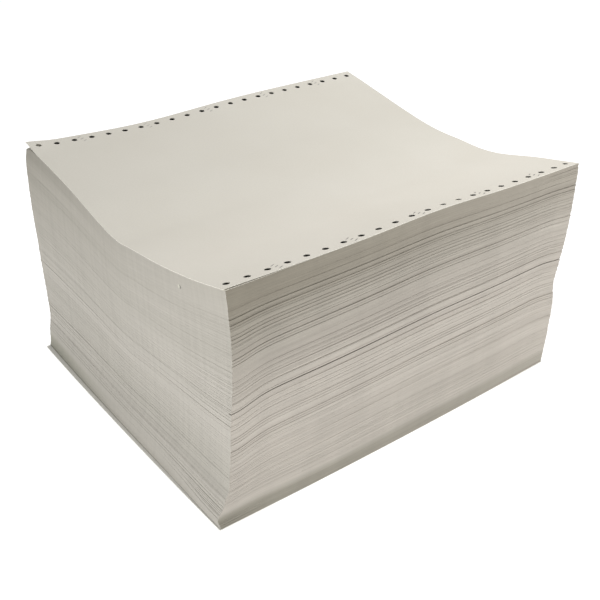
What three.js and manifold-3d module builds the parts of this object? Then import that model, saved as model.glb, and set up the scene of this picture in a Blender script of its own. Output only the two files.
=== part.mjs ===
// Fanfold continuous form paper: one long punched web, folded into a stack of pages.
// Millimetres. X runs from fold to fold, Y from cut edge to cut edge, Z up.
// The origin is under the middle of the stack, on the surface it lies on.

import * as THREE from "three";
import { mergeVertices } from "three/addons/utils/BufferGeometryUtils.js";
import Module from "manifold-3d";

// Driving dimensions: the form
const pageLength = 279.4; // fold to fold, 11 inches
const pageWidth = 241.3; // cut edge to cut edge, 9.5 inches
const holeDiameter = 3.97; // sprocket holes, 5/32 inch
const holePitch = 12.7; // half an inch, the same in every page
const holeMargin = 6.35; // hole centre to the cut edge

// Driving dimensions: the stack
const stackHeight = 155; // front cut edge of the top page, above the base
const widthTakenUp = 6.9; // the dished top page spans this much less than its flat width
const foldRelief = 0.8; // how far a fold stands out beyond the folds beside it
const foldUnevenness = 0.25; // as a share of foldRelief
const cutRelief = 0.55; // how far bundles of pages slide in and out at the cut edges
const loosePage = 0.5; // thickness of the top and the bottom page, which stand out from the rest
const gapDepth = 1.6; // the one open gap between pages, at about half height
const gapHeight = 76; // height of that gap at the front

// Driving dimensions: the sag, the foot and the curled corner
const endDroop = 5; // how far the pages sag at the left folds, at half height
const rightDroopShare = 0.6; // the right folds sag less
const droopReach = 26; // length of page that sags
const footHeight = 31; // the lowest pages, pushed out of line with the rest
const footBow = 1.6; // how far the sides of the foot bulge at mid length
const cornerLift = 2.5; // the curled back left corner of the top pages
const cornerReach = 20;
const liftedPages = 7; // thickness of the pages that curl there

// Pages per relief step: the web is far finer, so a step stands for a bundle of pages.
const bundleCount = 84;
const holeSides = 8;
const holeClearance = 5; // the punch runs this far past the top and the base
const holeLevels = [0, 0.16, 0.3, 0.5, 1]; // shares of the height where the column of holes bends

// Where the page surface is sampled, as shares of the half length and the half width.
const lengthStations = [-1, -0.94, -0.86, -0.62, -0.25, 0.05, 0.35, 0.62, 0.86, 0.94, 1];
const widthStations = [-1, -0.8, -0.55, -0.3, -0.14, -0.05, 0.08, 0.35, 0.6, 0.82, 1];

// The dish of the top page, as [share of the half width, height against stackHeight].
// The left folds crease sharply, the right folds bend in a wider curve.
const leftDish = [[-1, 2.5], [-0.74, -4.6], [-0.46, -10], [-0.16, -13.7], [-0.06, -15.2],
  [0.1, -13], [0.43, -3.3], [0.7, 3], [1, 8.1]];
const rightDish = [[-1, -1.2], [-0.72, -7.9], [-0.43, -15.7], [-0.27, -17.4], [-0.1, -15.1],
  [0.16, -14.5], [0.54, -7], [0.75, 1.2], [1, 4.9]];
const frontRise = 2; // bump of the front cut edge, near its middle
const frontRisePlace = 0.07;
const frontRiseSpread = 0.31;
const backSag = 3.5; // dip of the back cut edge, left of its middle
const backSagPlace = -0.4;
const backSagSpread = 0.45;

// How the stack stands, as [share of the height, value].
const leanAlong = [[0, -7.1], [0.15, -3.3], [0.2, -2.2], [0.4, -2.4], [0.6, -1.4], [0.93, -1.2],
  [1, -0.4]];
const leanAcross = [[0, 4.7], [1, -0.1]];
const turnDegrees = [[0, -0.6], [0.15, -0.6], [0.2, -0.05], [0.32, 0.5], [0.48, 1], [0.8, 1],
  [0.94, 0.7], [1, 0.1]];
const drawnIn = [[0, 0], [0.18, 1], [0.38, 2], [0.55, 1], [0.72, 0], [1, 0]]; // each end of the pages

// Where the sides part from those lines, in mm. The front shifts are full at the left folds.
const topSetIn = [[0, 0], [4, 0.9], [14, 1.5], [24, 0.6], [36, 0]]; // [depth below the top, front]
const footRoll = [[0, 0], [5, 1.2], [12, 2], [20, 1.4], [31, 0]]; // [height, front stands out]
const footSetIn = [[0, 1.2], [4, 1.6], [16, 0]]; // [height, left folds set in at the back]
const rightShare = 0.3; // of the front shifts, at the right folds
const frontShare = 0.6; // of footSetIn, at the front

const halfLength = pageLength / 2;
const halfWidth = pageWidth / 2;

// A smooth curve through a short list of [position, value] keys.
function curveThrough(keys, position) {
  const last = keys.length - 1;
  if (position <= keys[0][0]) return keys[0][1];
  if (position >= keys[last][0]) return keys[last][1];
  const i = keys.findIndex((key) => key[0] > position) - 1;
  const slopeAt = (k) => {
    const before = keys[Math.max(k - 1, 0)];
    const after = keys[Math.min(k + 1, last)];
    return (after[1] - before[1]) / (after[0] - before[0]);
  };
  const span = keys[i + 1][0] - keys[i][0];
  const t = (position - keys[i][0]) / span;
  const rise = keys[i + 1][1] - keys[i][1];
  const startSlope = slopeAt(i) * span;
  const endSlope = slopeAt(i + 1) * span;
  return keys[i][1] + t * (startSlope + t * (3 * rise - 2 * startSlope - endSlope
    + t * (startSlope + endSlope - 2 * rise)));
}

// Height of the top page against stackHeight; a and b run from -1 to 1 along X and Y.
function dish(a, b) {
  const left = curveThrough(leftDish, b);
  const right = curveThrough(rightDish, b);
  const bell = (middle, spread) => Math.exp(-(((a - middle) / spread) ** 2));
  const rise = frontRise * bell(frontRisePlace, frontRiseSpread) * Math.max(0, -b) ** 2;
  const sag = backSag * bell(backSagPlace, backSagSpread) * Math.max(0, b) ** 2;
  return THREE.MathUtils.lerp(left, right, (a + 1) / 2) + rise - sag;
}

// 1 at the end of a page, falling in a bell curve to a sixteenth at the given reach.
function nearEnd(distance, reach) {
  return 2 ** (-4 * (distance / reach) ** 2);
}

// Where a point (u, v) of the flat page lies when its page is at the share s of the height.
function place(u, v, s) {
  const a = THREE.MathUtils.clamp(u / halfLength, -1, 1);
  const b = THREE.MathUtils.clamp(v / halfWidth, -1, 1);
  const foot = Math.max(0, 1 - (s * stackHeight) / footHeight);
  const shorter = 1 - curveThrough(drawnIn, s) / halfLength;
  const narrower = 1 - (widthTakenUp * s * s) / pageWidth;
  const x = u * shorter + a * footBow * foot * (1 - b * b);
  const y = v * narrower + b * footBow * foot * (1 - a * a);

  const turn = THREE.MathUtils.degToRad(curveThrough(turnDegrees, s));
  const sag = endDroop * 4 * s * (1 - s);
  const ends = nearEnd((1 + a) * halfLength, droopReach)
    + rightDroopShare * nearEnd((1 - a) * halfLength, droopReach);
  const cornerDistance = Math.hypot((1 + a) * halfLength, (1 - b) * halfWidth);
  const curled = Math.max(0, 1 - ((1 - s) * stackHeight) / liftedPages);
  return new THREE.Vector3(
    x * Math.cos(turn) - y * Math.sin(turn) + curveThrough(leanAlong, s),
    x * Math.sin(turn) + y * Math.cos(turn) + curveThrough(leanAcross, s),
    s * (stackHeight + dish(a, b)) - sag * ends
      + cornerLift * curled * nearEnd(cornerDistance, cornerReach),
  );
}

// A repeatable number from -1 to 1 for bundle k, different for each face: the usual sine hash.
function slide(k, face) {
  const wave = Math.sin(k * 12.9898 + face * 78.233) * 43758.5453;
  return 2 * (wave - Math.floor(wave)) - 1;
}

// How far each face stands out at relief step k. Folds alternate: where the web folds on the
// left it runs through on the right, so the ridges of the two ends are half a step apart.
// The first and the last step are the loose pages, which keep the full outline.
function reliefAt(k) {
  const s = k / bundleCount;
  if (k < 1 || k > bundleCount - 1) return { s, loose: true, left: 0, right: 0, front: 0, back: 0 };
  const ridge = k % 2 === 0 ? 0.5 : -0.5;
  const gapStep = Math.round((gapHeight / stackHeight) * bundleCount);
  return {
    s,
    loose: false,
    left: foldRelief * (ridge + foldUnevenness * slide(k, 1)),
    right: foldRelief * (-ridge + foldUnevenness * slide(k, 2)),
    front: cutRelief * slide(k, 3) - (k === gapStep ? gapDepth : 0),
    back: cutRelief * slide(k, 4),
  };
}

// How far the front lies out of line at the share a of the length: back under the top page's
// edge, and out where the foot rolls forward.
function frontShift(a, height) {
  const weight = THREE.MathUtils.lerp(1, rightShare, (a + 1) / 2);
  return weight * (curveThrough(footRoll, height) - curveThrough(topSetIn, stackHeight - height));
}

// How far the left folds lie out of line above the bottom page, at the share b of the width.
function leftShift(b, height) {
  return -THREE.MathUtils.lerp(frontShare, 1, (b + 1) / 2) * curveThrough(footSetIn, height);
}

// A point of the outline, at the shares (a, b) of the half length and the half width.
function edgePoint(a, b, relief) {
  const height = relief.s * stackHeight;
  const left = relief.left + (relief.loose ? 0 : leftShift(b, height));
  const front = relief.front + (relief.loose ? 0 : frontShift(a, height));
  const u = a * (halfLength + (a < 0 ? left : relief.right));
  const v = b * (halfWidth + (b < 0 ? front : relief.back));
  return place(u, v, relief.s);
}

// The ring of points around the pages at relief step k, anticlockwise from the front left corner.
function ring(k) {
  const relief = reliefAt(k);
  return [
    ...lengthStations.slice(0, -1).map((a) => edgePoint(a, -1, relief)),
    ...widthStations.slice(0, -1).map((b) => edgePoint(1, b, relief)),
    ...lengthStations.slice(1).reverse().map((a) => edgePoint(a, 1, relief)),
    ...widthStations.slice(1).reverse().map((b) => edgePoint(-1, b, relief)),
  ];
}

// Collects triangles given as points into one indexed geometry.
class TriangleList {
  constructor() {
    this.positions = [];
  }

  add(...corners) {
    corners.forEach((corner) => this.positions.push(corner.x, corner.y, corner.z));
  }

  quad(a, b, c, d) {
    this.add(a, b, c);
    this.add(a, c, d);
  }

  // The walls between rings of equally many points, each ring above the one before.
  walls(rings) {
    rings.slice(1).forEach((upper, level) => {
      const lower = rings[level];
      lower.forEach((point, i) => {
        const next = (i + 1) % lower.length;
        this.quad(point, lower[next], upper[next], upper[i]);
      });
    });
  }

  geometry() {
    const geometry = new THREE.BufferGeometry();
    geometry.setAttribute("position", new THREE.Float32BufferAttribute(this.positions, 3));
    return mergeVertices(geometry, 1e-4);
  }
}

// The stack without its holes: relief rings, closed by the dished top page and the flat base.
function foldedPages() {
  const looseStep = (loosePage / stackHeight) * bundleCount;
  const bundles = Array.from({ length: bundleCount - 1 }, (_, i) => i + 1);
  const steps = [0, looseStep, ...bundles, bundleCount - looseStep, bundleCount];
  const triangles = new TriangleList();
  triangles.walls(steps.map(ring));

  const point = (i, j, s) => place(lengthStations[i] * halfLength, widthStations[j] * halfWidth, s);
  for (let i = 0; i < lengthStations.length - 1; i += 1) {
    for (let j = 0; j < widthStations.length - 1; j += 1) {
      triangles.quad(point(i, j, 1), point(i + 1, j, 1), point(i + 1, j + 1, 1), point(i, j + 1, 1));
      triangles.quad(point(i, j, 0), point(i, j + 1, 0), point(i + 1, j + 1, 0), point(i + 1, j, 0));
    }
  }
  return triangles.geometry();
}

// One sprocket hole, followed down through every page as the pages shift.
function holeColumn(u, v) {
  const rings = holeLevels.map((s) => {
    const centre = place(u, v, s);
    if (s === 0) centre.z -= holeClearance;
    if (s === 1) centre.z += holeClearance;
    return Array.from({ length: holeSides }, (_, i) => {
      const angle = (2 * Math.PI * (i + 0.5)) / holeSides;
      const rim = new THREE.Vector3(Math.cos(angle), Math.sin(angle), 0);
      return rim.multiplyScalar(holeDiameter / 2).add(centre);
    });
  });
  const triangles = new TriangleList();
  triangles.walls(rings);
  const bottom = rings[0];
  const top = rings[rings.length - 1];
  for (let i = 1; i < holeSides - 1; i += 1) {
    triangles.add(bottom[0], bottom[i + 1], bottom[i]);
    triangles.add(top[0], top[i], top[i + 1]);
  }
  return triangles.geometry();
}

const wasm = await Module();
wasm.setup();

function solid(geometry) {
  return new wasm.Manifold(new wasm.Mesh({
    numProp: 3,
    vertProperties: new Float32Array(geometry.attributes.position.array),
    triVerts: new Uint32Array(geometry.index.array),
  }));
}

// The pages with both rows of sprocket holes through them.
function punchedPages() {
  let pages = solid(foldedPages());
  const holeCount = Math.floor(pageLength / holePitch);
  const row = halfWidth - holeMargin;
  for (let i = 0; i < holeCount; i += 1) {
    const u = (i - (holeCount - 1) / 2) * holePitch;
    pages = pages.subtract(solid(holeColumn(u, -row)));
    pages = pages.subtract(solid(holeColumn(u, row)));
  }
  const mesh = pages.getMesh();
  const geometry = new THREE.BufferGeometry();
  geometry.setAttribute("position", new THREE.BufferAttribute(new Float32Array(mesh.vertProperties), 3));
  geometry.setIndex(new THREE.BufferAttribute(new Uint32Array(mesh.triVerts), 1));
  return geometry;
}

// The lean leaves the stack off centre, so it is moved to stand over the origin.
function centred(geometry) {
  geometry.computeBoundingBox();
  const middle = geometry.boundingBox.getCenter(new THREE.Vector3());
  geometry.translate(-middle.x, -middle.y, -geometry.boundingBox.min.z);
  geometry.computeVertexNormals();
  return geometry;
}

const paper = new THREE.MeshStandardMaterial({
  color: new THREE.Color().setRGB(0.78, 0.765, 0.7),
  roughness: 0.92,
  metalness: 0,
  flatShading: true,
});

const stack = new THREE.Mesh(centred(punchedPages()), paper);
stack.name = "paper_stack";

const form = new THREE.Group();
form.name = "fanfold_paper";
form.add(stack);

export default form;
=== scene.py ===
"""Fanfold continuous form paper: fine pages, materials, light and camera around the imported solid."""

import math

import bmesh
import bpy
import numpy as np
from mathutils import Matrix, Vector
from mathutils.geometry import delaunay_2d_cdt


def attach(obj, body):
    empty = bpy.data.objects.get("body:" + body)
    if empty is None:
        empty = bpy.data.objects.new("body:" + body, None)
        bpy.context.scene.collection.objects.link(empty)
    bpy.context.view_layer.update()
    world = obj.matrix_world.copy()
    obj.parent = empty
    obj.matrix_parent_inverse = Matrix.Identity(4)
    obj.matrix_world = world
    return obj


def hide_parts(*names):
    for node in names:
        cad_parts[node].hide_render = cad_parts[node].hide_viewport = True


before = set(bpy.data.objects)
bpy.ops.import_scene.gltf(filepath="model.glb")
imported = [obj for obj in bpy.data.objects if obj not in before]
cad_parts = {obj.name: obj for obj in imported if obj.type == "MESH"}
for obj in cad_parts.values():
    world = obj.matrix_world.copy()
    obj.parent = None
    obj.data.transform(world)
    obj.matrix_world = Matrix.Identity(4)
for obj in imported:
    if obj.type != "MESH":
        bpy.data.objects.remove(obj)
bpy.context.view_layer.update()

# The page and the stack, in millimetres. These are the values of the part's source, apart from
# RIGHT_DISH, which is a little straighter here, and the two values of the corner.
MM = 0.001
PAGE_LENGTH = 279.4
PAGE_WIDTH = 241.3
STACK_HEIGHT = 155.0
HOLE_DIAMETER = 3.97
HOLE_PITCH = 12.7
HOLE_MARGIN = 6.35
HALF_LENGTH = PAGE_LENGTH / 2
HALF_WIDTH = PAGE_WIDTH / 2
STACK_MIDDLE = (-3.766, 3.393)  # where the part's origin lies in the top page's own frame

END_DROOP = 5.0  # how far the pages droop towards their folds, at half the height
DROOP_REACH = 26.0
RIGHT_DROOP_SHARE = 0.6
FOOT_HEIGHT = 31.0
FOOT_BOW = 1.6
WIDTH_TAKEN_UP = 6.9
FRONT_RISE = 2.0
FRONT_RISE_PLACE = 0.07
FRONT_RISE_SPREAD = 0.31
BACK_SAG = 3.5
BACK_SAG_PLACE = -0.4
BACK_SAG_SPREAD = 0.45
BODY_CORNER = (-2.5, 10.0)  # lift and reach of the back left corner: the pages drop there
PAGE_CORNER = (2.0, 20.0)  # the same for the top page, which curls up over them
LIFTED_PAGES = 7.0  # depth of the pages that follow the corner

# Curves, as (position, value) keys. The position is b for the dishes, from -1 at the front to 1 at the
# back, and elsewhere the share of the height unless a comment says otherwise.
LEFT_DISH = [(-1, 2.5), (-0.74, -4.6), (-0.46, -10), (-0.16, -13.7), (-0.06, -15.2),
             (0.1, -13), (0.43, -3.3), (0.7, 3), (1, 8.1)]
RIGHT_DISH = [(-1, -1.2), (-0.72, -7.7), (-0.43, -15.4), (-0.27, -17.0), (-0.1, -16.1),
              (0.05, -15.6), (0.2, -13.8), (0.42, -9.0), (0.65, -3.2), (0.85, 1.9), (1, 5.4)]
LEAN_ALONG = [(0, -7.1), (0.15, -3.3), (0.2, -2.2), (0.4, -2.4), (0.6, -1.4), (0.93, -1.2), (1, -0.4)]
LEAN_ACROSS = [(0, 4.7), (1, -0.1)]
TURN_DEGREES = [(0, -0.6), (0.15, -0.6), (0.2, -0.05), (0.32, 0.5), (0.48, 1), (0.8, 1), (0.94, 0.7),
                (1, 0.1)]
DRAWN_IN = [(0, 0), (0.18, 1), (0.38, 2), (0.55, 1), (0.72, 0), (1, 0)]
TOP_SET_IN = [(0, 0), (4, 0.9), (14, 1.5), (24, 0.6), (36, 0)]  # depth below the top, front lies back
FOOT_ROLL = [(0, 0), (5, 1.2), (12, 2), (20, 1.4), (31, 0)]  # height, front stands out
FOOT_SET_IN = [(0, 1.2), (4, 1.6), (16, 0)]  # height, left folds lie back
RIGHT_SHARE = 0.3  # of FOOT_ROLL and TOP_SET_IN, at the right folds
FRONT_SHARE = 0.6  # of FOOT_SET_IN, at the front

# What only the fine model has, in millimetres.
# The corner lines say how far the pages' front corners lie to the right, seen as in the photograph,
# against height.
LEFT_CORNER_LINE = [(0, 0), (3, -2), (9, -4.5), (18, -2), (28, -1.2), (45, -2.2), (80, -2.4), (105, 0),
                    (138, 1.6), (155, 1.6)]
RIGHT_CORNER_LINE = [(0, -1), (14, -2.2), (31, -2), (43, -1.2), (55, -1), (66, -2.3), (80, -1.8),
                     (99, -0.6), (115, 0), (135, 0.7), (148, 0.4), (155, -1.2)]
CORNER_LINE_REACH = 75.0
TO_THE_RIGHT = (0.79, -0.61)  # direction of that shift along X and Y
SEED = 11
BUNDLE_THICKNESS = 0.8  # typical bundle of pages that moves together
BUNDLE_SPREAD = 0.6  # spread of the thickness, as a logarithm
THINNEST_BUNDLE = 0.3
THICKEST_BUNDLE = 3.0
CUT_RELIEF = 0.13  # usual slide of a bundle at the cut edges
FOLD_RELIEF = 0.04  # usual slide of a bundle at the folds
USUAL_SLIDE = {"front": CUT_RELIEF, "back": CUT_RELIEF, "left": FOLD_RELIEF, "right": FOLD_RELIEF}
STRAY_SLIDE = 0.45  # how far the odd stray bundle stands out at the cut edges
STRAY_SHARE = 0.16  # of the bundles under STRAY_THICKNESS
STRAY_THICKNESS = 1.2
SUNK_SHARE = 0.10  # of the bundles under SUNK_THICKNESS, which lie back instead
SUNK_THICKNESS = 1.0
SUNK_SLIDE = (0.1, 0.45)  # of STRAY_SLIDE
WAVE_CYCLES = (0.6, 1.3, 2.9)  # of the waves in every slide, along a face
WAVE_SHARE = 0.35  # how much the waves change a slide
WAVE_RELIEF = 0.3  # the waves' own size, as a share of the usual slide
GAP_HEIGHT = 86.0  # the open gap at about half height
GAP_DEPTH = 1.8
GAP_THICKNESS = 0.6
GAP_SHARE = GAP_HEIGHT / STACK_HEIGHT
SHEET_THICKNESS = 0.32
HOLE_SIDES = 20
SHAFT_LEVELS = 9
PAGE_GRID = 4.0
BODY_GRID = 9.0
# Slides are calmer near the top, near the base and in the upper left folds: distance at which they
# start to grow, distance over which they grow, and least share.
CALM_TOP = (4.0, 16.0, 0.12)
CALM_BASE = (-2.0, 16.0, 0.15)
CALM_FOLDS = (0.0, 50.0, 0.35)
CALM_FOLDS_HEIGHT = 125.0  # what CALM_FOLDS is measured down from
CALM_FOOT = 70.0  # the front's cut edges lie ever more evenly below this height
CALM_FOOT_POWER = 1.5
CALM_FOOT_LEAST = 0.12
LOOSE_PAGE = 0.8  # thickness of the bottom page, which stands out from the rest
CRIMP_FIRST = 2  # the first crimp follows the third hole, then every fourth
CRIMP_STEP = 4
CRIMP_LENGTH = 4.2
CRIMP_WIDTH = 0.9
CRIMP_SLANT = math.radians(28)
CRIMP_PITCH = 3.2  # between the three slits of a crimp, across the row
CRIMP_STAGGER = 0.6  # between the three slits, along the row
CRIMP_SHIFT = 0.7  # from the middle between two holes
CRIMP_OUTLINE = [(-0.5, 0), (-0.3, -0.5), (0.3, -0.5), (0.5, 0), (0.3, 0.5), (-0.3, 0.5)]
# depth below the top of the dark faces that fill the crimp slits: painted shade
SLIT_SHADE_DEPTH = 0.08

# Sprocket holes whose pages below are out of line with the top page: index, (u, v) shift in mm.
SHAFT_NUDGES = {12: (2.0, 1.4), 13: (2.2, 1.2), 22: (1.6, -1.2)}

# Materials by index: of the page stack, and of a single page.
CUT_EDGES, FOLD_EDGES, FACE, SHAFTS = range(4)
PAGE_FACE, PAGE_RIM, PAGE_SLIT_SHADE = range(3)

rng = np.random.default_rng(SEED)


def curve_through(keys, at):
    """A smooth curve through a short list of (position, value) keys."""
    x, y = np.array(keys, float).T
    slope = np.empty_like(y)
    slope[1:-1] = (y[2:] - y[:-2]) / (x[2:] - x[:-2])
    slope[0] = (y[1] - y[0]) / (x[1] - x[0])
    slope[-1] = (y[-1] - y[-2]) / (x[-1] - x[-2])
    at = np.clip(at, x[0], x[-1])
    i = np.clip(np.searchsorted(x, at, side="right") - 1, 0, len(x) - 2)
    span = x[i + 1] - x[i]
    t = (at - x[i]) / span
    rise = y[i + 1] - y[i]
    start, end = slope[i] * span, slope[i + 1] * span
    return y[i] + t * (start + t * (3 * rise - 2 * start - end + t * (start + end - 2 * rise)))


def near_end(distance, reach):
    """1 at an end of the page, falling in a bell curve to a sixteenth at the reach."""
    return 2.0 ** (-4 * (distance / reach) ** 2)


def hill(at, middle, spread):
    return np.exp(-(((at - middle) / spread) ** 2))


def dish(a, b):
    """Height of the top page against STACK_HEIGHT; a and b run from -1 to 1 along X and Y."""
    rise = FRONT_RISE * hill(a, FRONT_RISE_PLACE, FRONT_RISE_SPREAD) * np.maximum(0, -b) ** 2
    sag = BACK_SAG * hill(a, BACK_SAG_PLACE, BACK_SAG_SPREAD) * np.maximum(0, b) ** 2
    share = (a + 1) / 2
    return curve_through(LEFT_DISH, b) * (1 - share) + curve_through(RIGHT_DISH, b) * share + rise - sag


def place(u, v, s, corner_curl=BODY_CORNER):
    """Where points (u, v) of a flat page lie at the share s of the height, in the part's frame, in mm."""
    a = np.clip(u / HALF_LENGTH, -1, 1)
    b = np.clip(v / HALF_WIDTH, -1, 1)
    foot = np.maximum(0, 1 - s * STACK_HEIGHT / FOOT_HEIGHT)
    x = u * (1 - curve_through(DRAWN_IN, s) / HALF_LENGTH) + a * FOOT_BOW * foot * (1 - b * b)
    y = v * (1 - WIDTH_TAKEN_UP * s * s / PAGE_WIDTH) + b * FOOT_BOW * foot * (1 - a * a)
    turn = np.radians(curve_through(TURN_DEGREES, s))
    sag = END_DROOP * 4 * s * (1 - s)
    ends = (near_end((1 + a) * HALF_LENGTH, DROOP_REACH)
            + RIGHT_DROOP_SHARE * near_end((1 - a) * HALF_LENGTH, DROOP_REACH))
    corner = np.hypot((1 + a) * HALF_LENGTH, (1 - b) * HALF_WIDTH)
    curled = corner_curl[0] * np.maximum(0, 1 - (1 - s) * STACK_HEIGHT / LIFTED_PAGES)
    return np.stack([
        x * np.cos(turn) - y * np.sin(turn) + curve_through(LEAN_ALONG, s) - STACK_MIDDLE[0],
        x * np.sin(turn) + y * np.cos(turn) + curve_through(LEAN_ACROSS, s) - STACK_MIDDLE[1],
        s * (STACK_HEIGHT + dish(a, b)) - sag * ends + curled * near_end(corner, corner_curl[1]),
    ], axis=-1)


class Patches:
    """Collects patches of faces, each with its own material and UV, into one welded mesh object."""

    def __init__(self):
        self.points, self.faces, self.uvs, self.looks = [], [], [], []
        self.count = 0

    def add(self, points, uv, faces, look):
        """points (n, 3) in mm, uv (n, 2) in mm, faces as rows of indices into points."""
        faces = np.asarray(faces)
        self.points.append(np.asarray(points, float))
        self.uvs.append((np.asarray(uv, float), faces))
        self.faces.append(faces + self.count)
        self.looks.append(np.full(len(faces), look))
        self.count += len(points)

    def build(self, name, materials, sharp_degrees=35):
        mesh = bpy.data.meshes.new(name)
        faces = [tuple(face) for block in self.faces for face in block.tolist()]
        mesh.from_pydata((np.concatenate(self.points) * MM).tolist(), [], faces)
        for material in materials:
            mesh.materials.append(material)
        mesh.polygons.foreach_set("material_index", np.concatenate(self.looks).astype(np.int32))
        corners = np.concatenate([uv[block].reshape(-1, 2) for uv, block in self.uvs]) * MM
        layer = mesh.uv_layers.new(name="UVMap")
        layer.data.foreach_set("uv", corners.astype(np.float32).ravel())
        piece = bpy.data.objects.new(name, mesh)
        bpy.context.collection.objects.link(piece)
        weld(mesh)
        mesh.polygons.foreach_set("use_smooth", np.ones(len(mesh.polygons), bool))
        mesh.set_sharp_from_angle(angle=math.radians(sharp_degrees))
        mesh.update()
        return piece


def weld(mesh):
    """Joins the points that neighbouring patches share."""
    work = bmesh.new()
    work.from_mesh(mesh)
    bmesh.ops.remove_doubles(work, verts=work.verts, dist=1e-6)
    work.to_mesh(mesh)
    work.free()


def between(start, end, count):
    return np.linspace(start, end, count, endpoint=False)


# Stations along the front, right, back and left side, as shares of the page's half length or half width,
# round from the front left corner. They lie closer together where the sides bend.
SIDE_STATIONS = [
    np.concatenate([between(-1, -0.8, 14), between(-0.8, 0.85, 34), between(0.85, 1, 7)]),
    between(-1, 1, 38),
    between(1, -1, 38),
    np.concatenate([between(1, -0.5, 30), between(-0.5, -1, 40)]),
]


def perimeter():
    """(a, b) of every station round the page."""
    front, right, back, left = SIDE_STATIONS
    a = np.concatenate([front, np.ones_like(right), back, -np.ones_like(left)])
    b = np.concatenate([-np.ones_like(front), right, np.ones_like(back), left])
    return a, b


def hole_places(nudges=None):
    """(u, v) of every sprocket hole of a flat page: the front row, then the back row."""
    count = round(PAGE_LENGTH / HOLE_PITCH)
    u = (np.arange(count) - (count - 1) / 2) * HOLE_PITCH
    row = HALF_WIDTH - HOLE_MARGIN
    centres = np.concatenate([np.stack([u, np.full(count, side * row)], 1) for side in (-1, 1)])
    for index, nudge in (nudges or {}).items():
        centres[index] += nudge
    return centres


def circle(centre, radius, sides):
    angle = 2 * np.pi * np.arange(sides) / sides
    return centre + radius * np.stack([np.cos(angle), np.sin(angle)], 1)


def punched_sheet(outline, cutouts, grid):
    """Triangles that fill a convex outline around cutouts. Returns points (n, 2) and triangles (m, 3)."""
    points, edges = [outline], [ring_edges(0, len(outline))]
    count = len(outline)
    for cutout in cutouts:
        points.append(cutout)
        edges.append(ring_edges(count, len(cutout)))
        count += len(cutout)
    low, high = outline.min(0), outline.max(0)
    steps = np.maximum(2, np.round((high - low) / grid).astype(int))
    xs = np.linspace(low[0], high[0], steps[0] + 1)[1:-1]
    ys = np.linspace(low[1], high[1], steps[1] + 1)[1:-1]
    inner = np.stack(np.meshgrid(xs, ys), -1).reshape(-1, 2)
    for cutout in cutouts:
        middle = cutout.mean(0)
        reach = np.linalg.norm(cutout - middle, axis=1).max() + 0.25 * grid
        inner = inner[np.linalg.norm(inner - middle, axis=1) > reach]
    points.append(inner)
    flat = np.concatenate(points)
    verts, _, faces, _, _, _ = delaunay_2d_cdt(
        [Vector(p) for p in flat.tolist()], np.concatenate(edges).tolist(), [], 0, 1e-5)
    verts = np.array([tuple(p) for p in verts])
    faces = np.array([list(face) for face in faces])
    middle = verts[faces].mean(1)
    keep = np.ones(len(faces), bool)
    for cutout in cutouts:
        near = np.linalg.norm(middle - cutout.mean(0), axis=1) < np.ptp(cutout, axis=0).max()
        for i in np.nonzero(near)[0]:
            keep[i] &= not inside(middle[i], cutout)
    return verts, upward(verts, faces[keep])


def ring_edges(first, count):
    index = np.arange(count)
    return np.stack([first + index, first + (index + 1) % count], 1)


def inside(point, loop):
    """Whether a point lies inside a convex loop that runs anticlockwise."""
    ahead = np.roll(loop, -1, axis=0) - loop
    off = point - loop
    return bool(np.all(ahead[:, 0] * off[:, 1] - ahead[:, 1] * off[:, 0] > 0))


def upward(verts, faces):
    """The triangles wound anticlockwise as seen from above."""
    p, q, r = (verts[faces[:, i]] for i in range(3))
    area = (q - p)[:, 0] * (r - p)[:, 1] - (q - p)[:, 1] * (r - p)[:, 0]
    faces = faces[np.abs(area) > 1e-9]
    flip = area[np.abs(area) > 1e-9] < 0
    faces[flip] = faces[flip][:, ::-1]
    return faces


def bundle_levels():
    """Heights, in mm, of the joints between bundles of pages, base and top included."""
    heights = [LOOSE_PAGE]
    while heights[-1] < STACK_HEIGHT:
        thickness = BUNDLE_THICKNESS * np.exp(rng.normal(0, BUNDLE_SPREAD))
        heights.append(heights[-1] + float(np.clip(thickness, THINNEST_BUNDLE, THICKEST_BUNDLE)))
    heights[-1] = STACK_HEIGHT
    heights = np.array(heights)
    heights = heights[np.abs(heights - GAP_HEIGHT) > 2 * GAP_THICKNESS]
    return np.sort(np.append(heights, [GAP_HEIGHT - GAP_THICKNESS / 2, GAP_HEIGHT + GAP_THICKNESS / 2]))


def calm_share(distance, start, fade, least):
    return np.clip((distance - start) / fade, least, 1)


def bundle_slides(levels):
    """How far each bundle stands out at each of the four sides, in mm."""
    count = len(levels) - 1
    middle = (levels[1:] + levels[:-1]) / 2
    thickness = np.diff(levels)
    slides = {}
    for face, usual in USUAL_SLIDE.items():
        slide = usual * rng.normal(0, 1, count)
        stray = (rng.random(count) < STRAY_SHARE) & (thickness < STRAY_THICKNESS)
        slide += stray * STRAY_SLIDE * usual / CUT_RELIEF * rng.uniform(0.4, 1, count)
        sunk = (rng.random(count) < SUNK_SHARE) & (thickness < SUNK_THICKNESS) & ~stray
        slide -= sunk * STRAY_SLIDE * usual / CUT_RELIEF * rng.uniform(*SUNK_SLIDE, count)
        slides[face] = slide
    calm = calm_share(STACK_HEIGHT - middle, *CALM_TOP) * calm_share(middle, *CALM_BASE)
    for face in slides:
        slides[face] *= calm
    slides["front"] *= np.clip((middle / CALM_FOOT) ** CALM_FOOT_POWER, CALM_FOOT_LEAST, 1)
    slides["left"] *= calm_share(CALM_FOLDS_HEIGHT - middle, *CALM_FOLDS)
    slides["front"][np.argmin(np.abs(middle - GAP_HEIGHT))] = -GAP_DEPTH
    return slides


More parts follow.
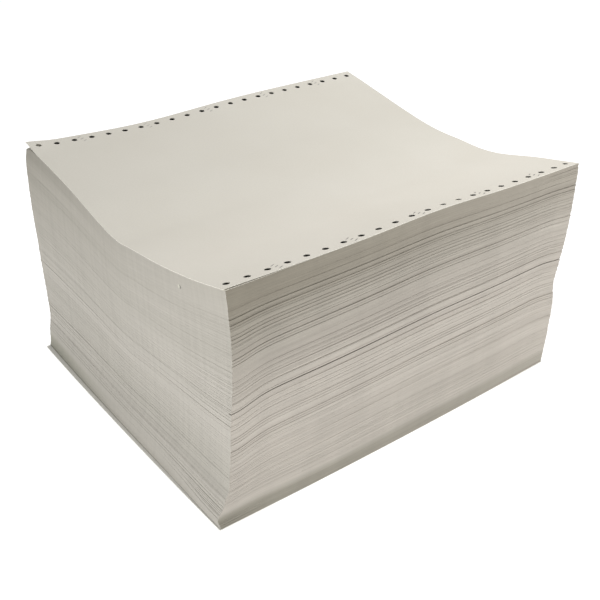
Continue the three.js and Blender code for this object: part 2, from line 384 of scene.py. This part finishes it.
def relief(levels, slides, a, b):
    """Shift along X and along Y of every ring's stations, in mm, with two rings to a bundle."""
    count = len(levels) - 1
    shift = {}
    for face, along in (("front", a), ("back", a), ("left", b), ("right", b)):
        wave = np.zeros((count, len(along)))
        for cycles in WAVE_CYCLES:
            phase = rng.random((count, 1)) * 2 * np.pi
            wave += np.sin(2 * np.pi * cycles * along[None, :] / 2 + phase) / (1 + cycles)
        own = WAVE_RELIEF * USUAL_SLIDE[face] * wave
        shift[face] = slides[face][:, None] * (1 + WAVE_SHARE * wave) + own
    height = ((levels[1:] + levels[:-1]) / 2)[:, None]
    at_left = 1 + (RIGHT_SHARE - 1) * (a[None, :] + 1) / 2
    set_in = curve_through(TOP_SET_IN, STACK_HEIGHT - height)
    shift["front"] += at_left * (curve_through(FOOT_ROLL, height) - set_in)
    at_back = FRONT_SHARE + (1 - FRONT_SHARE) * (b[None, :] + 1) / 2
    shift["left"] -= at_back * curve_through(FOOT_SET_IN, height)
    corner = 0
    for line, from_end in ((LEFT_CORNER_LINE, 1 + a), (RIGHT_CORNER_LINE, 1 - a)):
        near = near_end(from_end * HALF_LENGTH, CORNER_LINE_REACH)
        near = near * near_end((1 + b) * HALF_WIDTH, CORNER_LINE_REACH)
        corner = corner + near[None, :] * curve_through(line, height)
    out_x = np.clip(a, 0, 1) * shift["right"] - np.clip(-a, 0, 1) * shift["left"]
    out_y = np.clip(b, 0, 1) * shift["back"] - np.clip(-b, 0, 1) * shift["front"]
    out_x = out_x + TO_THE_RIGHT[0] * corner
    out_y = out_y + TO_THE_RIGHT[1] * corner
    return np.repeat(out_x, 2, axis=0), np.repeat(out_y, 2, axis=0)


def stack_body(materials):
    """Every page but the top and the bottom one: stepped bundles, punched right through."""
    a, b = perimeter()
    u, v = a * HALF_LENGTH, b * HALF_WIDTH
    levels = bundle_levels()
    out_x, out_y = relief(levels, bundle_slides(levels), a, b)
    ring_s = np.stack([levels[:-1], levels[1:]], 1).ravel() / STACK_HEIGHT
    rings = place(u[None, :] + out_x, v[None, :] + out_y, ring_s[:, None] + 0 * out_x)
    around = np.concatenate([[0], np.cumsum(np.hypot(np.diff(u), np.diff(v)))])
    around = np.append(around, around[-1] + np.hypot(u[0] - u[-1], v[0] - v[-1]))
    side_looks = (CUT_EDGES, FOLD_EDGES, CUT_EDGES, FOLD_EDGES)
    look_of_station = np.repeat(side_looks, [len(side) for side in SIDE_STATIONS])

    # The UV of the sides is the distance round the outline and the height, that of the caps the flat page.
    patches = Patches()
    stations = len(u)
    for look in (CUT_EDGES, FOLD_EDGES):
        columns = np.nonzero(look_of_station == look)[0]
        first = rings[:, columns]
        second = rings[:, (columns + 1) % stations]
        block = np.stack([first, second], 2)
        uv = np.empty(block.shape[:3] + (2,))
        uv[..., 0, 0] = around[columns]
        uv[..., 1, 0] = around[columns + 1]
        uv[..., 1] = (ring_s * STACK_HEIGHT)[:, None, None]
        index = np.arange(block.shape[0] * len(columns) * 2).reshape(block.shape[:3])
        quads = np.stack([index[:-1, :, 0], index[:-1, :, 1], index[1:, :, 1], index[1:, :, 0]], -1)
        patches.add(block.reshape(-1, 3), uv.reshape(-1, 2), quads.reshape(-1, 4), look)

    centres = hole_places(SHAFT_NUDGES)
    circles = [circle(c, HOLE_DIAMETER / 2, HOLE_SIDES) for c in centres]
    outline = np.stack([u, v], 1)
    flat, triangles = punched_sheet(outline, circles, BODY_GRID)
    for ring, faces in ((-1, triangles), (0, triangles[:, ::-1])):
        cap = flat.copy()
        cap[:stations] += np.stack([out_x[ring], out_y[ring]], 1)
        patches.add(place(cap[:, 0], cap[:, 1], np.full(len(cap), ring_s[ring])), flat, faces, FACE)
    shaft_s = np.linspace(1, ring_s[0], SHAFT_LEVELS)
    for loop in circles:
        loop_u = np.tile(loop[:, 0], (SHAFT_LEVELS, 1))
        loop_v = np.tile(loop[:, 1], (SHAFT_LEVELS, 1))
        wall = place(loop_u, loop_v, shaft_s[:, None] + 0 * loop_u)
        index = np.arange(SHAFT_LEVELS * HOLE_SIDES).reshape(SHAFT_LEVELS, HOLE_SIDES)
        after = np.roll(index, -1, axis=1)
        quads = np.stack([index[:-1], after[:-1], after[1:], index[1:]], -1).reshape(-1, 4)
        uv = np.stack([loop_u, np.tile(shaft_s[:, None] * STACK_HEIGHT, (1, HOLE_SIDES))], -1)
        patches.add(wall.reshape(-1, 3), uv.reshape(-1, 2), quads, SHAFTS)
    return patches.build("page_stack", materials)


def page_sheet(name, materials, underside, thickness, cutouts=()):
    """One loose page: underside is a function of (u, v) that places the points of its lower face."""
    a, b = perimeter()
    outline = np.stack([a * HALF_LENGTH, b * HALF_WIDTH], 1)
    circles = [circle(c, HOLE_DIAMETER / 2, HOLE_SIDES) for c in hole_places()]
    flat, triangles = punched_sheet(outline, circles + list(cutouts), PAGE_GRID)
    under = underside(flat[:, 0], flat[:, 1])
    over = under + [0, 0, thickness]
    patches = Patches()
    patches.add(over, flat, triangles, PAGE_FACE)
    patches.add(under, flat, triangles[:, ::-1], PAGE_FACE)
    for loop in boundary_loops(triangles):
        ring = np.array(loop)
        wall = np.concatenate([under[ring], over[ring]])
        count = len(ring)
        index = np.arange(count)
        quads = np.stack([index, (index + 1) % count, (index + 1) % count + count, index + count], 1)
        uv = np.concatenate([flat[ring], flat[ring] + thickness])
        patches.add(wall, uv, quads, PAGE_RIM)
    # Dark faces fill the crimp slits just below the top: painted shade in the slits.
    for slit in cutouts:
        fan = np.array([[0, i, i + 1] for i in range(1, len(slit) - 1)])
        slit_shade = underside(slit[:, 0], slit[:, 1]) + [0, 0, thickness - SLIT_SHADE_DEPTH]
        patches.add(slit_shade, slit, fan, PAGE_SLIT_SHADE)
    return patches.build(name, materials, sharp_degrees=50)


def crimps():
    """The slits of the crimp locks, as loops of (u, v): three slanted ones between two holes."""
    along = np.array([math.cos(CRIMP_SLANT), math.sin(CRIMP_SLANT)])
    aside = np.array([-along[1], along[0]])
    slits = []
    holes = hole_places()
    count = len(holes) // 2
    for row in (holes[:count], holes[count:]):
        for left in range(CRIMP_FIRST, count, CRIMP_STEP):
            for step in (-1, 0, 1):
                shift = HOLE_PITCH / 2 - CRIMP_SHIFT - CRIMP_STAGGER * step
                middle = row[left] + [shift, CRIMP_PITCH * step]
                slits.append(np.array([
                    middle + CRIMP_LENGTH * x * along + CRIMP_WIDTH * y * aside for x, y in CRIMP_OUTLINE]))
    return slits


def boundary_loops(triangles):
    """The loops of edges that only one triangle has, each in that triangle's direction."""
    edges = np.concatenate([triangles[:, [0, 1]], triangles[:, [1, 2]], triangles[:, [2, 0]]])
    forward = {(int(p), int(q)) for p, q in edges}
    following = {p: q for p, q in forward if (q, p) not in forward}
    loops = []
    while following:
        start, here = following.popitem()
        loop = [start]
        while here != start:
            loop.append(here)
            here = following.pop(here)
        loops.append(loop)
    return loops


def node_material(name):
    material = bpy.data.materials.new(name)
    material.use_nodes = True
    tree = material.node_tree
    shader = tree.nodes["Principled BSDF"]
    return material, tree, shader


def linked(tree, kind, inputs=(), **settings):
    """A node with its settings, and inputs given by name as a value or as another node's output."""
    node = tree.nodes.new(kind)
    for key, value in settings.items():
        setattr(node, key, value)
    for key, value in dict(inputs).items():
        if isinstance(value, bpy.types.NodeSocket):
            tree.links.new(value, node.inputs[key])
        else:
            node.inputs[key].default_value = value
    return node


def stretched_noise(tree, scale, detail=3.0, roughness=0.55, offset=(0, 0, 0)):
    """Noise over the UV map in metres, with its own scale along and across."""
    uv = linked(tree, "ShaderNodeUVMap", uv_map="UVMap")
    mapped = linked(tree, "ShaderNodeMapping", {
        "Vector": uv.outputs["UV"], "Scale": scale, "Location": offset})
    noise = linked(tree, "ShaderNodeTexNoise", {
        "Vector": mapped.outputs["Vector"], "Scale": 1.0, "Detail": detail, "Roughness": roughness})
    return noise.outputs["Fac"]


def ramp(tree, value, stops):
    node = linked(tree, "ShaderNodeValToRGB", {"Fac": value})
    while len(node.color_ramp.elements) < len(stops):
        node.color_ramp.elements.new(0.5)
    for element, (position, colour) in zip(node.color_ramp.elements, stops):
        element.position = position
        element.color = (*colour, 1)
    return node.outputs["Color"]


def mixed(tree, blend, factor, first, second):
    node = linked(tree, "ShaderNodeMix", data_type="RGBA", blend_type=blend)
    for socket, value in ((node.inputs[0], factor), (node.inputs[6], first), (node.inputs[7], second)):
        if isinstance(value, bpy.types.NodeSocket):
            tree.links.new(value, socket)
        else:
            socket.default_value = value
    return node.outputs[2]


def uv_part(tree, axis, start, end):
    """0 at the start and 1 at the end of one axis of the UV map, in mm."""
    uv = linked(tree, "ShaderNodeUVMap", uv_map="UVMap")
    parts = linked(tree, "ShaderNodeSeparateXYZ", {"Vector": uv.outputs["UV"]})
    return linked(tree, "ShaderNodeMapRange", {
        "Value": parts.outputs[axis], "From Min": start * MM, "From Max": end * MM}).outputs["Result"]


def page_face_material():
    """The flat of a page: faint clouds and fibres, with painted shade that darkens it towards the back cut
    edge, where less light falls.
    """
    material, tree, shader = node_material("paper_face")
    cloud = stretched_noise(tree, (14, 14, 1), detail=3)
    tone = ramp(tree, cloud, [(0.3, (0.690, 0.662, 0.590)), (0.7, (0.715, 0.690, 0.622))])
    fibre = stretched_noise(tree, (900, 900, 1), detail=5, roughness=0.7)
    flecks = ramp(tree, fibre, [(0.32, (0.955, 0.955, 0.95)), (0.62, (1, 1, 1))])
    # Painted shade: the page darkens towards the back, where less light falls on it.
    painted_back_shade = ramp(tree, uv_part(tree, "Y", -HALF_WIDTH, HALF_WIDTH), [
        (0.2, (1, 1, 1)), (0.5, (0.90, 0.905, 0.905)), (0.68, (0.82, 0.825, 0.825)),
        (0.9, (0.79, 0.795, 0.795))])
    colour = mixed(tree, "MULTIPLY", 1.0, mixed(tree, "MULTIPLY", 1.0, tone, flecks), painted_back_shade)
    tree.links.new(colour, shader.inputs["Base Color"])
    bump = linked(tree, "ShaderNodeBump", {"Height": fibre, "Strength": 0.12, "Distance": 0.0002})
    tree.links.new(bump.outputs["Normal"], shader.inputs["Normal"])
    rough = linked(tree, "ShaderNodeMapRange", {"Value": cloud, "To Min": 0.72, "To Max": 0.86})
    tree.links.new(rough.outputs["Result"], shader.inputs["Roughness"])
    shader.inputs["Specular IOR Level"].default_value = 0.3
    return material


def painted_shade_tone(tree, stops, along):
    """Painted shade on page edges against height, fading along the outline.

    stops are (share of the height, colour). along is (start, end, least share): the tone is full at the
    start and falls to the least share at the end, both as distances round the outline in mm."""
    height = uv_part(tree, "Y", 0, STACK_HEIGHT)
    share = linked(tree, "ShaderNodeMapRange", {
        "Value": uv_part(tree, "X", along[0], along[1]), "To Min": 1.0, "To Max": along[2]})
    toned = ramp(tree, height, stops)
    return mixed(tree, "MIX", share.outputs["Result"], (1, 1, 1, 1), toned)


def spot(tree, u, v, radius):
    """1 within a small soft round spot at (u, v), in mm, and 0 outside it."""
    uv = linked(tree, "ShaderNodeUVMap", uv_map="UVMap")
    centre = (u * MM, v * MM, 0)
    off = linked(tree, "ShaderNodeVectorMath", {0: uv.outputs["UV"], 1: centre}, operation="DISTANCE")
    inside_spot = linked(tree, "ShaderNodeMapRange", {
        "Value": off.outputs["Value"], "From Min": 1.2 * radius * MM, "From Max": 0.6 * radius * MM})
    return inside_spot.outputs["Result"]


def edge_material(name, dark, light, line_contrast, across, bands_scale, painted_shade, nick=None):
    """Edges of pages seen together: fine lines along them, from page to page.

    dark and light are the tones of broad bands of pages. line_contrast is (dark lines, light lines), as
    shares of the tone: the dark lines are painted shade in the gaps between pages, the light ones a painted
    highlight on pages that stand out. across is how many faint stripes a metre run across the pages. The
    list of stops and reaches is painted shade: darker bands where the edges lie in shade. nick is the place
    of one small nick in the folds."""
    material, tree, shader = node_material(name)
    lines = stretched_noise(tree, (9, 1500, 1), detail=4, roughness=0.65)
    bands = stretched_noise(tree, bands_scale, detail=3, offset=(3, 1, 0))
    stripes = stretched_noise(tree, (across, 14, 1), detail=2, offset=(7, 5, 0))
    tone = ramp(tree, bands, [(0.33, dark), (0.67, light)])
    # Fine lines from page to page: the dark ones are painted shade in the gaps between pages, the light
    # ones a painted highlight on pages that stand out.
    usual = 1 - line_contrast[1]
    line_shade_and_highlight = ramp(tree, lines, [
        (0.36, (usual - line_contrast[0],) * 3), (0.5, (usual,) * 3), (0.57, (usual,) * 3),
        (0.66, (1, 1, 1))])
    stripe_tone = ramp(tree, stripes, [(0.35, (0.95, 0.95, 0.95)), (0.6, (1, 1, 1))])
    colour = mixed(tree, "MULTIPLY", 1.0, mixed(tree, "MULTIPLY", 1.0, tone, line_shade_and_highlight), stripe_tone)
    # Painted shade, darker where the edges lie in shade.
    for stops, along in painted_shade:
        colour = mixed(tree, "MULTIPLY", 1.0, colour, painted_shade_tone(tree, stops, along))
    if nick:
        shade = spot(tree, nick[0] + NICK_SHADE, nick[1], NICK_RADIUS)
        colour = mixed(tree, "MIX", shade, colour, (0.2, 0.195, 0.17, 1))
        colour = mixed(tree, "MIX", spot(tree, *nick, NICK_RADIUS), colour, (0.60, 0.585, 0.51, 1))
    tree.links.new(colour, shader.inputs["Base Color"])
    bump = linked(tree, "ShaderNodeBump", {"Height": lines, "Strength": 0.3, "Distance": 0.0003})
    tree.links.new(bump.outputs["Normal"], shader.inputs["Normal"])
    shader.inputs["Roughness"].default_value = 0.9
    shader.inputs["Specular IOR Level"].default_value = 0.2
    return material


def plain_paper(name, dark, light):
    """Single pages seen at their bare edge, and the dark faces in the crimp slits, which are painted shade.
    """
    material, tree, shader = node_material(name)
    fibre = stretched_noise(tree, (700, 700, 1), detail=4)
    tone = ramp(tree, fibre, [(0.3, dark), (0.7, light)])
    tree.links.new(tone, shader.inputs["Base Color"])
    shader.inputs["Roughness"].default_value = 0.9
    return material


def shaft_material():
    """The walls of the sprocket holes, painted near black: painted shade deep in the holes."""
    material, tree, shader = node_material("hole_shade_walls")
    shade_mottle = stretched_noise(tree, (300, 300, 1))
    tone = ramp(tree, shade_mottle, [(0.3, (0.03, 0.029, 0.024)), (0.7, (0.06, 0.058, 0.05))])
    tree.links.new(tone, shader.inputs["Base Color"])
    shader.inputs["Roughness"].default_value = 0.95
    return material


# The studio, in metres. A light is its name, place, target, size, power and colour.
FLOOR_REACH = 8.0
FLOOR_TONE = (0.5, 0.5, 0.5)
FLOOR_GLOW = 0.8
WORLD_GLOW = 0.38
LIGHTS = [
    ("key", (0.27, 0.15, 0.85), (0, 0, 0.1), 0.4, 4.7, (1, 0.98, 0.97)),
    ("front_fill", (0.85, -0.75, 0.22), (0.1, -0.1, 0.06), 0.5, 5.9, (1, 0.98, 0.96)),
    ("fill", (-0.7, -0.4, 0.14), (-0.1, -0.1, 0.05), 0.5, 2.5, (1, 0.985, 0.96)),
]


def studio_floor():
    mesh = bpy.data.meshes.new("studio_floor")
    corners = [(FLOOR_REACH * x, FLOOR_REACH * y, 0) for x, y in ((-1, -1), (1, -1), (1, 1), (-1, 1))]
    mesh.from_pydata(corners, [], [(0, 1, 2, 3)])
    floor = bpy.data.objects.new("studio_floor", mesh)
    bpy.context.collection.objects.link(floor)
    material, _, shader = node_material("floor_white")
    shader.inputs["Base Color"].default_value = (*FLOOR_TONE, 1)
    shader.inputs["Emission Color"].default_value = (1, 1, 1, 1)
    shader.inputs["Emission Strength"].default_value = FLOOR_GLOW
    shader.inputs["Roughness"].default_value = 0.9
    shader.inputs["Specular IOR Level"].default_value = 0.1
    mesh.materials.append(material)


def area_light(name, position, target, size, power, colour):
    light = bpy.data.lights.new(name, "AREA")
    light.shape = "SQUARE"
    light.size = size
    light.energy = power
    light.color = colour
    lamp = bpy.data.objects.new(name, light)
    lamp.location = position
    lamp.rotation_euler = (Vector(target) - Vector(position)).to_track_quat("-Z", "Y").to_euler()
    bpy.context.collection.objects.link(lamp)


def studio_light():
    world = bpy.data.worlds.new("studio")
    world.use_nodes = True
    background = world.node_tree.nodes["Background"]
    background.inputs["Color"].default_value = (1, 1, 1, 1)
    background.inputs["Strength"].default_value = WORLD_GLOW
    bpy.context.scene.world = world
    for light in LIGHTS:
        area_light(*light)


# The camera that the photograph's hole rows and base corners give, in the top page's own frame:
# millimetres and radians.
CAMERA_PLACE = (-339.595, -439.756, 375.195)
CAMERA_YAW = 0.65471
CAMERA_PITCH = 0.534219
CAMERA_ROLL = -0.006483
CAMERA_LENS = 53.731
SENSOR_WIDTH = 36.0


def photograph_camera():
    data = bpy.data.cameras.new("camera")
    data.lens = CAMERA_LENS
    data.sensor_width = SENSOR_WIDTH
    camera = bpy.data.objects.new("camera", data)
    ahead = Vector((math.sin(CAMERA_YAW) * math.cos(CAMERA_PITCH),
                    math.cos(CAMERA_YAW) * math.cos(CAMERA_PITCH), -math.sin(CAMERA_PITCH)))
    right = Vector((math.cos(CAMERA_YAW), -math.sin(CAMERA_YAW), 0))
    up = right.cross(ahead)
    c, s = math.cos(CAMERA_ROLL), math.sin(CAMERA_ROLL)
    turned_right = c * right + s * up
    turned_up = c * up - s * right
    turn = Matrix((turned_right, turned_up, -ahead)).transposed()
    stand = Vector(CAMERA_PLACE) - Vector((*STACK_MIDDLE, 0))
    camera.matrix_world = Matrix.Translation(stand * MM) @ turn.to_4x4()
    bpy.context.collection.objects.link(camera)
    bpy.context.scene.camera = camera


bpy.context.scene.view_settings.view_transform = "Standard"
photograph_camera()
studio_light()
studio_floor()

face = page_face_material()
page_rims = plain_paper("page_rims", (0.70, 0.68, 0.61), (0.80, 0.78, 0.71))
# Painted shade: the dark paper that fills the crimp slits.
crimp_slit_shade = plain_paper("crimp_slit_shade", (0.30, 0.29, 0.27), (0.40, 0.39, 0.36))
# The bottom page is painted lighter than the other pages: painted light on its thin strip, which the stack
# above shades.
bottom_page_lit_paper = plain_paper("bottom_page", (0.84, 0.83, 0.78), (0.92, 0.91, 0.87))

# The page edges get painted shade towards the foot, the top and the back, where less light falls on them.
# Places are distances round the outline from the front left corner, anticlockwise, in mm.
BACK_LEFT = 2 * PAGE_LENGTH + PAGE_WIDTH
ALL_ROUND = 2 * (PAGE_LENGTH + PAGE_WIDTH)
CUT_PAINTED_SHADE = [
    # Painted shade at the foot and at the top of the cut edges, most at the front left.
    ([(0, (0.56, 0.57, 0.53)), (0.055, (0.62, 0.63, 0.59)), (0.09, (1, 1, 1)), (0.5, (0.98, 0.98, 0.98)),
      (0.7, (0.84, 0.84, 0.83)), (0.84, (0.68, 0.68, 0.65)), (0.94, (0.54, 0.53, 0.48))],
     (0, PAGE_LENGTH, 0.6)),
    # Painted shade: the dark line in the open gap.
    ([(GAP_SHARE - 0.004, (1, 1, 1)), (GAP_SHARE - 0.002, (0.42, 0.41, 0.40)),
      (GAP_SHARE + 0.002, (0.42, 0.41, 0.40)), (GAP_SHARE + 0.004, (1, 1, 1))],
     (0.3 * PAGE_LENGTH, 0.8 * PAGE_LENGTH, 0.2)),
]
FOLD_PAINTED_SHADE = [
    # Painted shade at the upper left folds, most at the back.
    ([(0.55, (1, 1, 1)), (1, (0.74, 0.735, 0.71))],
     (BACK_LEFT, BACK_LEFT + 0.6 * PAGE_WIDTH, 0.25)),
    # Painted shade where the foot of the left folds lies back and faces down.
    ([(0.02, (0.74, 0.76, 0.72)), (0.065, (0.82, 0.83, 0.79)), (0.085, (1, 1, 1))],
     (BACK_LEFT + 0.1 * PAGE_WIDTH, BACK_LEFT + 0.5 * PAGE_WIDTH, 0.05)),
    # Painted shade: the dark line in the recess just above the bottom page.
    ([(0.008, (0.72, 0.72, 0.70)), (0.014, (1, 1, 1))],
     (BACK_LEFT, ALL_ROUND, 0.9)),
]
NICK = (ALL_ROUND - 46, 148)  # place round the outline, and height
NICK_RADIUS = 1.1
NICK_SHADE = 1.2  # how far the nick's dark side lies from it

cut_edges = edge_material(
    "paper_cut_edges", (0.512, 0.474, 0.422), (0.574, 0.536, 0.479), (0.07, 0.13), 60, (5, 130, 1),
    CUT_PAINTED_SHADE)
fold_edges = edge_material(
    "paper_fold_edges", (0.49, 0.47, 0.42), (0.55, 0.525, 0.475), (0.05, 0.05), 330, (2.5, 60, 1),
    FOLD_PAINTED_SHADE, nick=NICK)
shaft_shade = shaft_material()

body = stack_body([cut_edges, fold_edges, face, shaft_shade])
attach(body, "root")
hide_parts("paper_stack")


# How the two loose pages lie, in millimetres. A reach is (along the page's length, along its width).
TOP_AIR = 0.08  # under the top page
TOP_LIFT = 0.3  # more of it at the front left corner
TOP_LIFT_REACH = (40, 90)
TOP_DRAWN_IN = 2.2  # how far the top page's front right corner lies to the left
TOP_DRAWN_IN_REACH = (16, 60)
BOTTOM_OUT = 0.6  # how far the bottom page stands out at the left folds
BOTTOM_OUT_AT_BACK = 0.8  # more of it at the back
BOTTOM_OUT_REACH = (14, 140)


def top_underside(u, v):
    """The top page lies loose: a little air under it, more near its free left edge at the front."""
    from_front = v + HALF_WIDTH
    lift = TOP_AIR + TOP_LIFT * near_end(u + HALF_LENGTH, TOP_LIFT_REACH[0]) * near_end(
        from_front, TOP_LIFT_REACH[1])
    drawn = TOP_DRAWN_IN * near_end(HALF_LENGTH - u, TOP_DRAWN_IN_REACH[0]) * near_end(
        from_front, TOP_DRAWN_IN_REACH[1])
    return place(u - drawn, v, np.ones_like(u), PAGE_CORNER) + np.stack([0 * u, 0 * u, lift], -1)


def bottom_underside(u, v):
    """The bottom page stands out a little at the left folds, most of all at the back."""
    out = BOTTOM_OUT + BOTTOM_OUT_AT_BACK * near_end(HALF_WIDTH - v, BOTTOM_OUT_REACH[1])
    return place(u - out * near_end(u + HALF_LENGTH, BOTTOM_OUT_REACH[0]), v, np.zeros_like(u))


top_page = page_sheet(
    "top_page", [face, page_rims, crimp_slit_shade], top_underside, SHEET_THICKNESS, crimps())
bottom_page = page_sheet("bottom_page", [bottom_page_lit_paper, bottom_page_lit_paper], bottom_underside, LOOSE_PAGE)
for sheet in (top_page, bottom_page):
    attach(sheet, "root")
